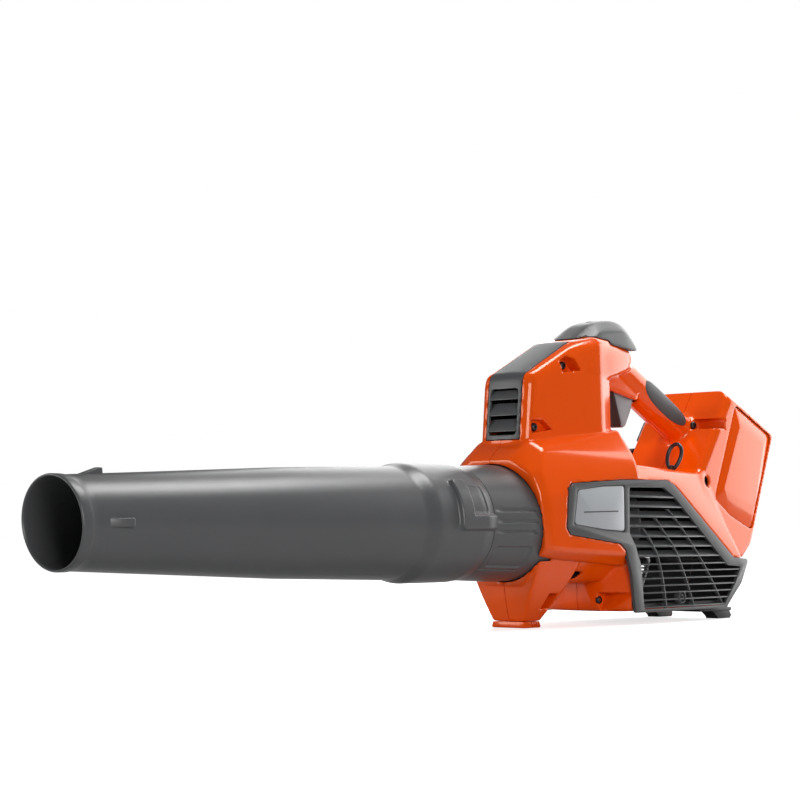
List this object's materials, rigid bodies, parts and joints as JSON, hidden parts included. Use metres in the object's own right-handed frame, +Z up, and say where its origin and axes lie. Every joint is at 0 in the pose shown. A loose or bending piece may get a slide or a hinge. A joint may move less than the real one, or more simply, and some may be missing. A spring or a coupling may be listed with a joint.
{
  "type": "leaf blower",
  "caption": "Hand-held battery leaf blower: round two-part blow tube, orange clamshell housing with top handle, side intake grilles and a slide-in rear battery.",
  "frame": {"origin": "centre of the flat bottom of the front foot", "axes": "+X from the nozzle back to the battery, parallel to the air duct; +Z up; the user's left is -Y"},
  "size_m": [0.9603, 0.1252, 0.3055],
  "materials": {
    "orange_shell": "glossy moulded",
    "grey_plastic": "fine satin texture",
    "tube_plastic": "satin",
    "dark_plastic": "matt",
    "soft_grip": "soft touch",
    "label_silver": "satin silver",
    "trigger_grey": "satin",
    "steel": "plain",
    "aluminium": "machined",
    "copper": "wound copper",
    "brass": "plain",
    "board": "solder mask",
    "black_plastic": "matt",
    "white_plastic": "gloss"
  },
  "bodies": {
    "machine": {"housing_left": "orange_shell", "housing_right": "orange_shell", "front_vent": "grey_plastic", "keypad_cap": "grey_plastic", "keypad_board": "board", "intake_panel_left": "grey_plastic", "intake_panel_right": "grey_plastic", "label_plate_left": "label_silver", "label_plate_right": "label_silver", "grip_pad_left": "soft_grip", "grip_pad_right": "soft_grip", "front_foot": "orange_shell", "base_cover": "dark_plastic", "ring_clip": "dark_plastic", "side_rest": "dark_plastic", "coupling_tube": "tube_plastic", "fan_duct": "dark_plastic", "inlet_bell": "dark_plastic", "motor_nose_cone": "dark_plastic", "motor_stator": "copper", "motor_front_plate": "aluminium", "motor_rear_plate": "aluminium", "bearing_front": "steel", "bearing_rear": "steel", "trigger_pin": "steel", "trigger_spring": "steel", "trigger_switch": "black_plastic", "control_board": "board", "heat_sink": "aluminium", "battery_cable": "black_plastic", "motor_cable": "black_plastic", "terminal_block": "black_plastic", "contact_blade_left": "brass", "contact_blade_right": "brass", "screw_tower_lower": "steel", "screw_tower_upper": "steel", "screw_handle": "steel", "screw_belly": "steel", "screw_box": "steel", "screw_panel_left": "steel", "screw_panel_right": "steel"},
    "nozzle": {"nozzle_tube": "tube_plastic"},
    "trigger_body": {"trigger": "trigger_grey"},
    "fan_body": {"fan": "black_plastic", "fan_nut": "steel", "motor_rotor": "steel", "motor_shaft": "steel"},
    "power_key": {"power_button": "dark_plastic"},
    "boost_key": {"boost_button": "dark_plastic"},
    "battery": {"battery_case": "dark_plastic", "battery_lid": "grey_plastic"},
    "battery_latch_body": {"battery_latch": "black_plastic"},
    "charge_key": {"charge_button": "white_plastic"},
    "ring_body": {"hanging_ring": "steel"}
  },
  "joints": [
    {"name": "nozzle_twist", "type": "hinge", "parent": "machine", "child": "nozzle", "pos_m": [-0.12, 0, 0.1], "axis": [1, 0, 0], "range_deg": [-35, 0]},
    {"name": "trigger_pull", "type": "hinge", "parent": "machine", "child": "trigger_body", "pos_m": [0.163, 0, 0.262], "axis": [0, -1, 0], "range_deg": [0, 12], "stiffness_Nm_per_rad": 0.5, "springref_deg": -20.05},
    {"name": "fan_spin", "type": "hinge", "parent": "machine", "child": "fan_body", "pos_m": [0.086, 0, 0.1], "axis": [1, 0, 0], "continuous": true},
    {"name": "power_press", "type": "slide", "parent": "machine", "child": "power_key", "axis": [0, 0, -1], "range_m": [0, 0.0012], "stiffness_N_per_m": 400, "springref_m": -0.001},
    {"name": "boost_press", "type": "slide", "parent": "machine", "child": "boost_key", "axis": [0, 0, -1], "range_m": [0, 0.0012], "stiffness_N_per_m": 400, "springref_m": -0.001},
    {"name": "battery_slide", "type": "slide", "parent": "machine", "child": "battery", "axis": [0.891, 0, -0.454], "range_m": [0, 0.095]},
    {"name": "latch_press", "type": "slide", "parent": "battery", "child": "battery_latch_body", "axis": [-0.454, 0, -0.891], "range_m": [0, 0.003], "stiffness_N_per_m": 500, "springref_m": -0.002},
    {"name": "charge_press", "type": "slide", "parent": "battery", "child": "charge_key", "axis": [-0.891, 0, 0.454], "range_m": [0, 0.001], "stiffness_N_per_m": 400, "springref_m": -0.001},
    {"name": "ring_fold", "type": "hinge", "parent": "machine", "child": "ring_body", "pos_m": [0.205, -0.042, 0.1555], "axis": [0, 1, 0], "range_deg": [-60, 35]}
  ]
}
